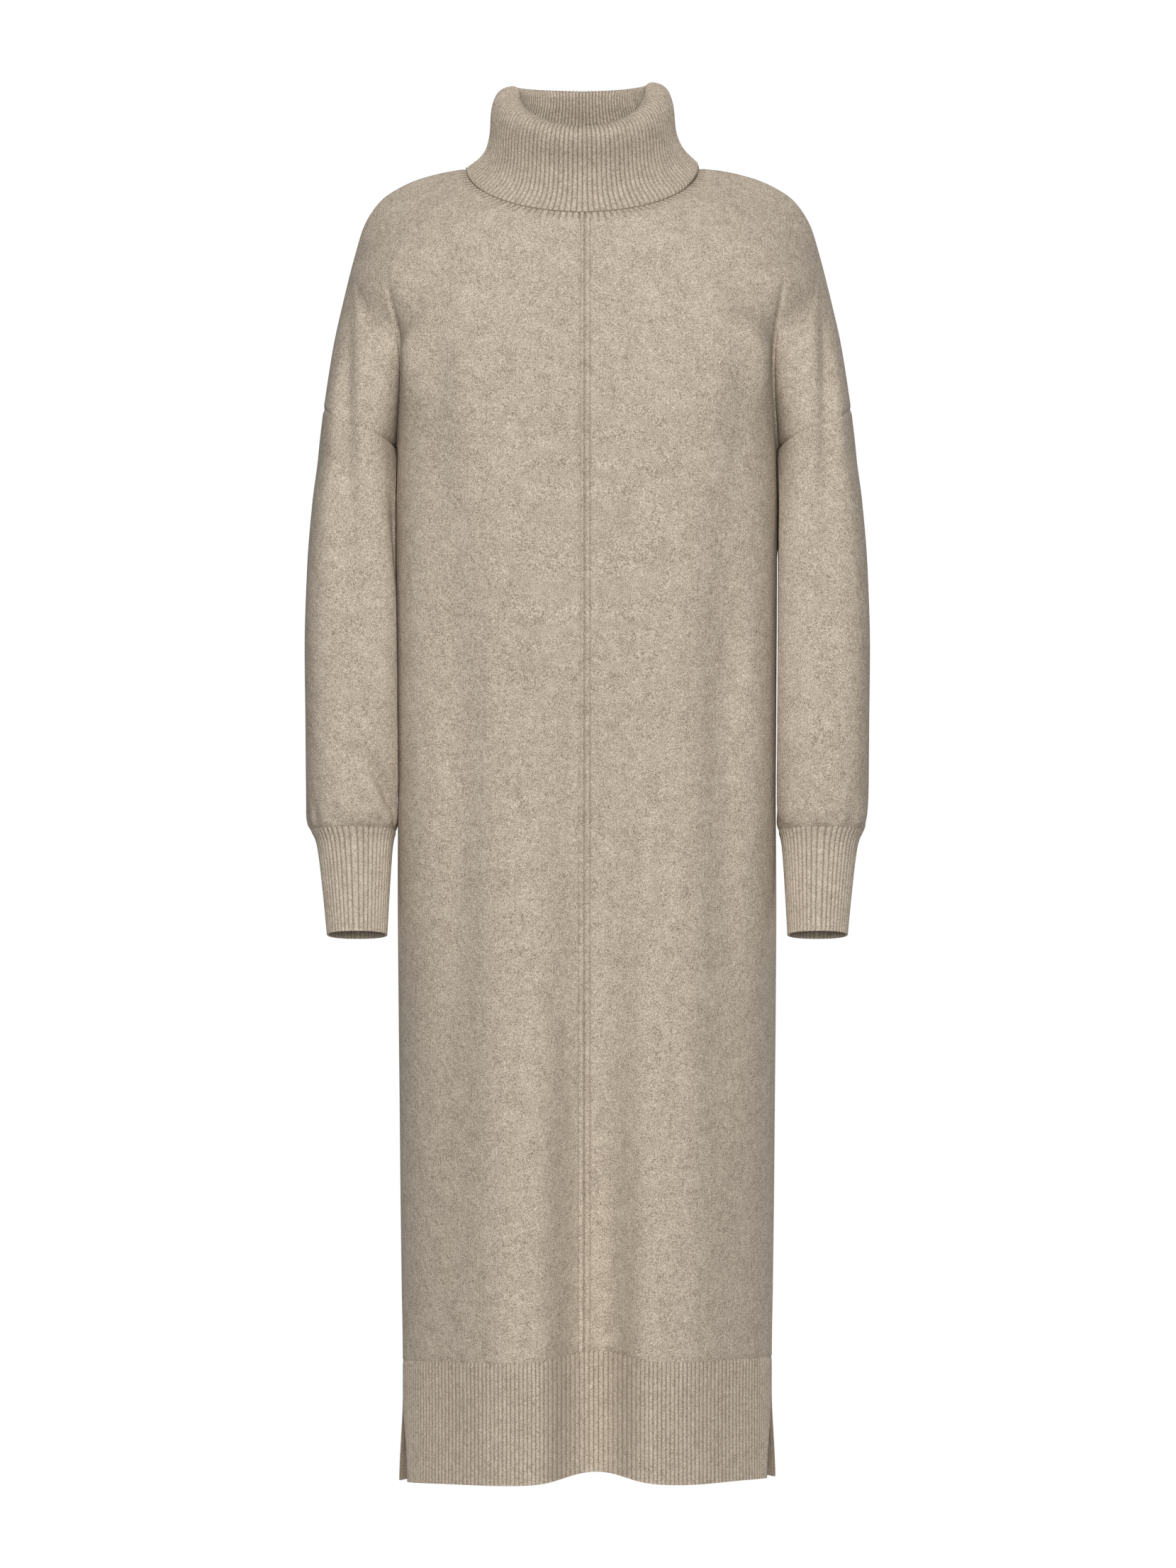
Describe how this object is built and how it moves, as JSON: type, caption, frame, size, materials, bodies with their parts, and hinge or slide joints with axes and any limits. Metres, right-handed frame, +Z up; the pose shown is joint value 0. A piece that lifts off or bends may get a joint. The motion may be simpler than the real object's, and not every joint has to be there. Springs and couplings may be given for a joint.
{
  "type": "roll-neck sweater dress",
  "caption": "Long straight knitted dress with a folded ribbed collar, dropped shoulders, long sleeves with ribbed cuffs, a raised centre line and a deep ribbed hem slit at the sides.",
  "frame": {"origin": "between the two high shoulder points, where the wearer's shoulders hold the dress up", "axes": "+Z up, the front faces -Y, and +X is the wearer's left"},
  "size_m": [0.505, 0.2389, 1.2538],
  "materials": {
    "plain_knit": "soft matte, oatmeal melange with fine wales",
    "rib_knit": "soft matte rib, oatmeal melange"
  },
  "bodies": {
    "root": {"front_panel": "plain_knit", "back_panel": "plain_knit", "sleeve_left": "plain_knit", "sleeve_right": "plain_knit", "cuff_left": "rib_knit", "cuff_right": "rib_knit", "hem_rib_front": "rib_knit", "hem_rib_back": "rib_knit", "collar": "rib_knit"}
  },
  "joints": []
}
